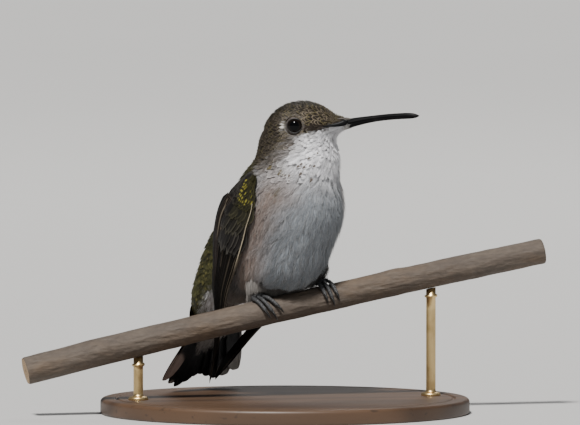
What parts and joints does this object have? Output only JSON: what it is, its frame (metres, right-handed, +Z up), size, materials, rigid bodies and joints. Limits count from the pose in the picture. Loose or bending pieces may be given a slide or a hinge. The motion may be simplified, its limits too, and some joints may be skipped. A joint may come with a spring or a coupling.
{
  "type": "hummingbird",
  "caption": "Still life-size hummingbird with a long slim bill, sitting upright on a short cut twig that two rods hold over a round wooden base.",
  "frame": {"origin": "centre of the round base's underside", "axes": "+X along the twig towards its raised end, -Y the side that the bird's breast faces, +Z up"},
  "size_m": [0.1216, 0.084, 0.0712],
  "materials": {
    "olive_plumage": "grey-brown and bronze-green feathers with pale edges",
    "pale_plumage": "soft whitish to buff-grey feathers, spotted on the throat",
    "flight_feathers": "blackish-brown stiff feathers with a slight sheen, the outer tail ones tipped white",
    "eye": "glossy, near black",
    "bill": "glossy black horn",
    "feet": "slate-black scaly skin with glossy claws",
    "bark": "smooth grey-tan bark with fine grain, pale cut ends",
    "stand_wood": "satin dark walnut",
    "stand_brass": "satin"
  },
  "bodies": {
    "root": {"head": "olive_plumage", "rump": "olive_plumage", "uppertail_coverts": "olive_plumage", "wing_right_coverts": "olive_plumage", "wing_left_coverts": "olive_plumage", "neck": "pale_plumage", "trunk": "pale_plumage", "undertail_coverts": "pale_plumage", "wing_right_primaries": "flight_feathers", "wing_right_secondaries": "flight_feathers", "wing_left_primaries": "flight_feathers", "wing_left_secondaries": "flight_feathers", "tail_right": "flight_feathers", "tail_middle": "flight_feathers", "tail_left": "flight_feathers", "eye_right": "eye", "eye_left": "eye", "bill_upper": "bill", "bill_lower": "bill", "leg_right": "feet", "toe_right_inner": "feet", "toe_right_middle": "feet", "toe_right_outer": "feet", "toe_right_hind": "feet", "leg_left": "feet", "toe_left_inner": "feet", "toe_left_middle": "feet", "toe_left_outer": "feet", "toe_left_hind": "feet", "perch": "bark", "stand_base": "stand_wood", "stand_rod_low": "stand_brass", "stand_rod_high": "stand_brass"}
  },
  "joints": []
}
